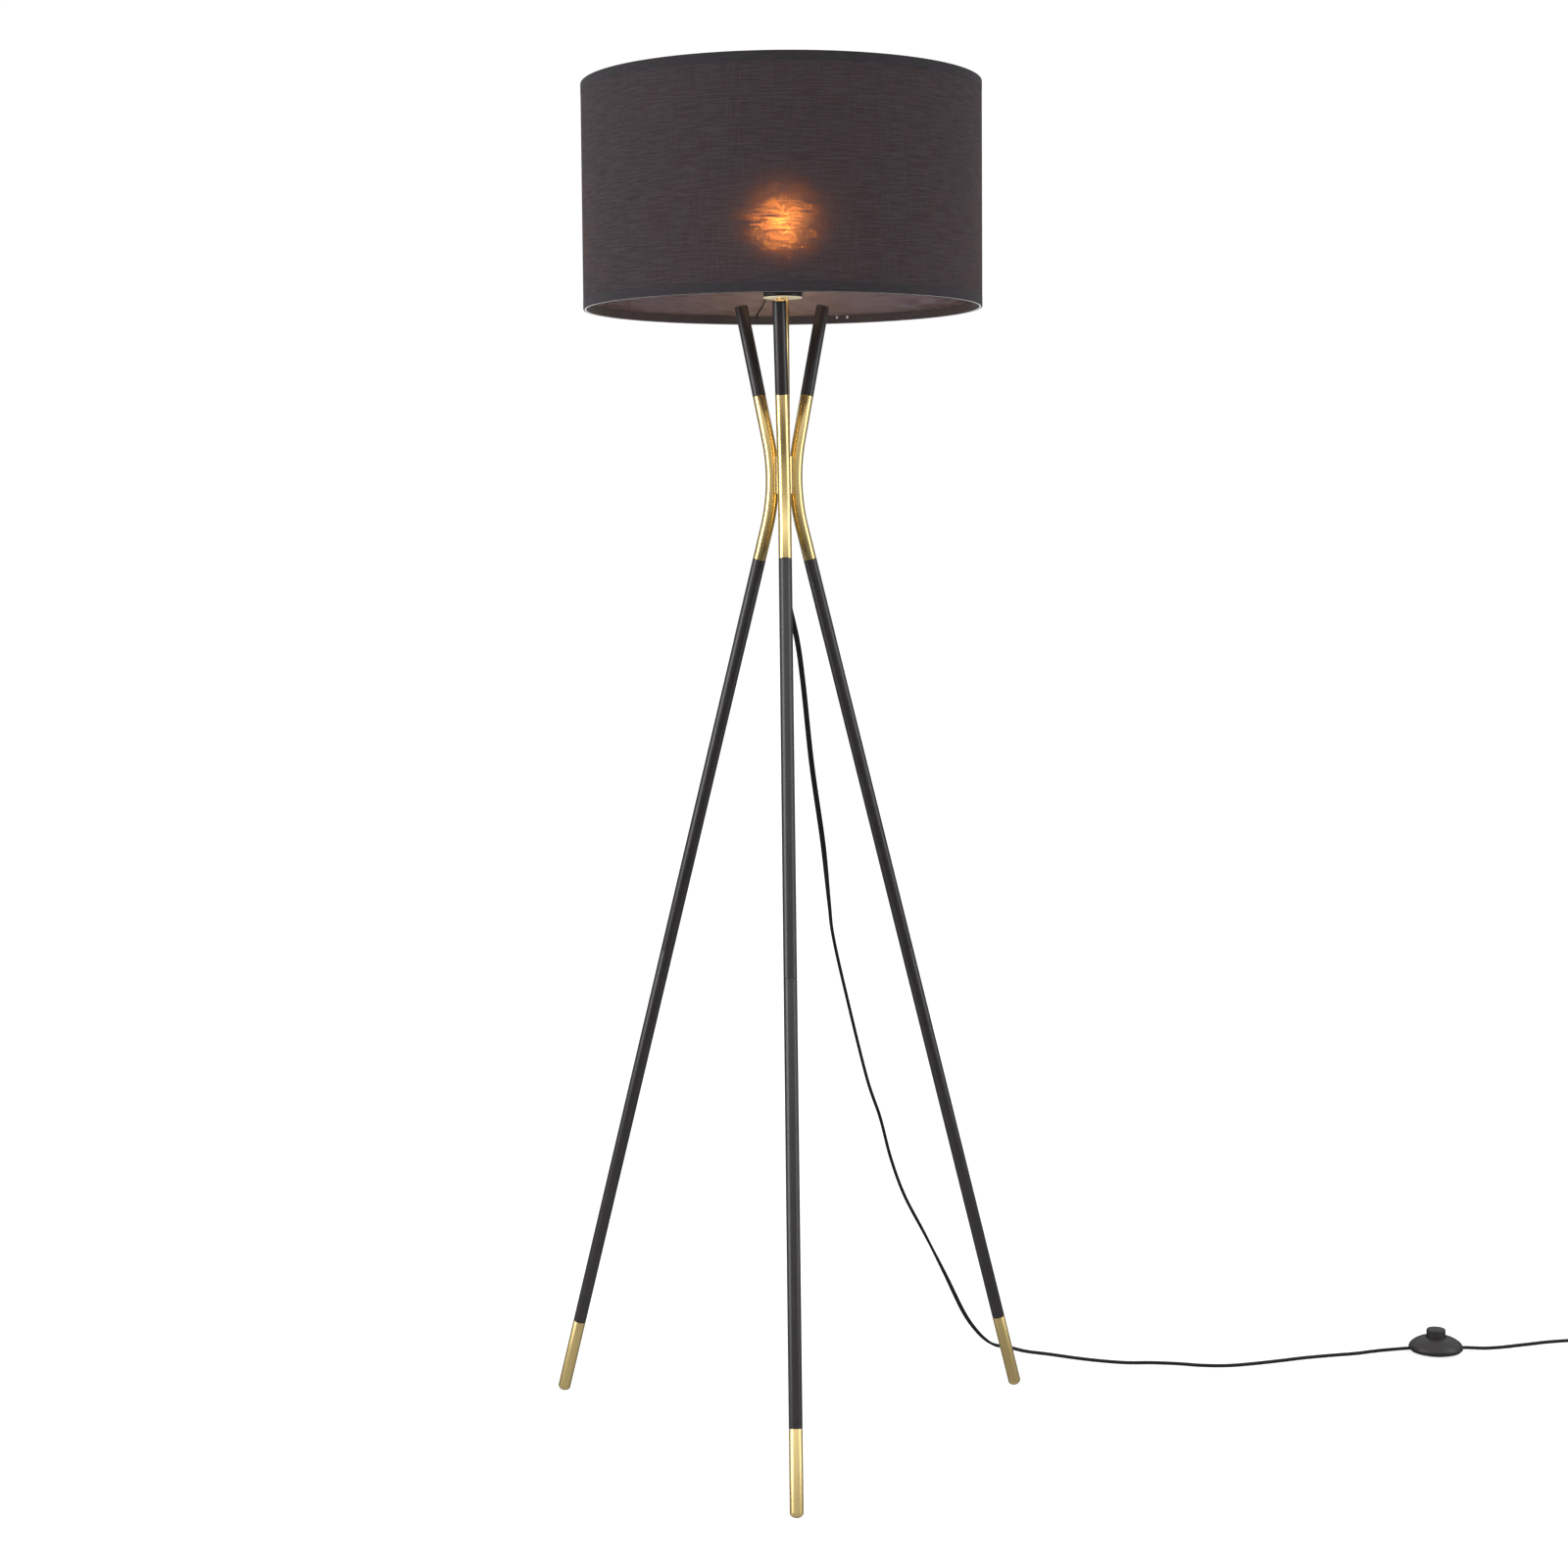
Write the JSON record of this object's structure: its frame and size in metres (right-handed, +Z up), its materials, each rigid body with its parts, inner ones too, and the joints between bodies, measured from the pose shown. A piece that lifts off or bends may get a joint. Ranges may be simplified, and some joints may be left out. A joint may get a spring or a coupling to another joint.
{
  "type": "floor lamp",
  "caption": "Tripod floor lamp with bent black tube legs, brass waist and feet, a dark cloth drum shade, a lit bulb and a cord with a foot switch and plug.",
  "frame": {"origin": "on the floor, in the middle of the bounding box of the lamp without its free cord; the stem's axis stands 49.8 mm behind it in +Y", "axes": "+Z up along the stem; -Y towards the front leg, so the other two legs stand at the back; +X to the side where the cord runs off"},
  "size_m": [1.4773, 0.7315, 1.54],
  "materials": {
    "polished_brass": "bright satin polish",
    "satin_brass": "satin",
    "black_paint": "satin powder coat",
    "zinc_steel": "zinc plated, satin",
    "shade_wire": "dark bronze paint",
    "black_plastic": "satin",
    "socket_brass": "bright",
    "porcelain": "glazed",
    "bulb_glass": "frosted",
    "warm_light": "lit from inside",
    "shade_cloth": "plain weave with horizontal slubs",
    "shade_lining": "translucent sheet",
    "cord_sheath": "satin",
    "cord_plastic": "fine grain",
    "plug_metal": "nickel plated"
  },
  "bodies": {
    "stand": {"leg_bend_front": "polished_brass", "leg_bend_right": "polished_brass", "leg_bend_left": "polished_brass", "waist_hub": "polished_brass", "stem_upper": "polished_brass", "stem_lower": "polished_brass", "socket_plate": "polished_brass", "foot_front": "satin_brass", "foot_right": "satin_brass", "foot_left": "satin_brass", "upper_tube_front": "black_paint", "upper_tube_right": "black_paint", "upper_tube_left": "black_paint", "middle_tube_front": "black_paint", "middle_tube_right": "black_paint", "middle_tube_left": "black_paint", "lower_tube_front": "black_paint", "lower_tube_right": "black_paint", "lower_tube_left": "black_paint", "tube_cap_front": "black_paint", "tube_cap_right": "black_paint", "tube_cap_left": "black_paint", "joint_stud_front": "zinc_steel", "joint_stud_right": "zinc_steel", "joint_stud_left": "zinc_steel", "threaded_nipple": "zinc_steel", "switch_spring": "zinc_steel", "stem_gland": "black_plastic", "lampholder_skirt": "black_plastic", "shade_nut": "black_plastic", "thread_shell": "socket_brass", "centre_contact": "socket_brass", "lampholder_core": "porcelain", "stem_cord": "cord_sheath", "cord_hanging": "cord_sheath", "cord_lead": "cord_sheath", "cord_coil": "cord_sheath", "cord_tail": "cord_sheath", "cord_sleeve": "cord_plastic", "coil_tie": "cord_plastic", "plug_body": "cord_plastic", "switch_base": "cord_plastic", "switch_cover": "cord_plastic", "switch_module": "cord_plastic", "plug_pin_left": "plug_metal", "plug_pin_right": "plug_metal"},
    "shade": {"shade_fabric": "shade_cloth", "shade_liner": "shade_lining", "hem_top": "shade_cloth", "hem_bottom": "shade_cloth", "shade_spider": "shade_wire", "shade_top_ring": "shade_wire", "shade_rivet_left": "zinc_steel", "shade_rivet_right": "zinc_steel"},
    "bulb_carrier": {"bulb_tip": "porcelain"},
    "bulb": {"bulb_glass": "bulb_glass", "bulb_cap": "zinc_steel", "bulb_filament": "warm_light"},
    "switch_button": {"switch_button": "cord_plastic"}
  },
  "joints": [
    {"name": "switch_press", "type": "slide", "parent": "stand", "child": "switch_button", "axis": [0, 0, -1], "range_m": [0, 0.004], "stiffness_N_per_m": 600, "springref_m": -0.002, "deforming": ["switch_spring"]},
    {"name": "shade_turn", "type": "hinge", "parent": "stand", "child": "shade", "pos_m": [0, 0.04979, 1.312], "axis": [0, 0, 1], "continuous": true},
    {"name": "bulb_lift", "type": "slide", "parent": "stand", "child": "bulb_carrier", "axis": [0, 0, 1], "range_m": [0, 0.0127]},
    {"name": "bulb_turn", "type": "hinge", "parent": "bulb_carrier", "child": "bulb", "pos_m": [0, 0.04979, 1.33], "axis": [0, 0, 1], "range_deg": [0, 1260]}
  ],
  "couplings": [
    {"joint": "bulb_turn", "follows": "bulb_lift", "rad_per_m": 1731.4}
  ]
}
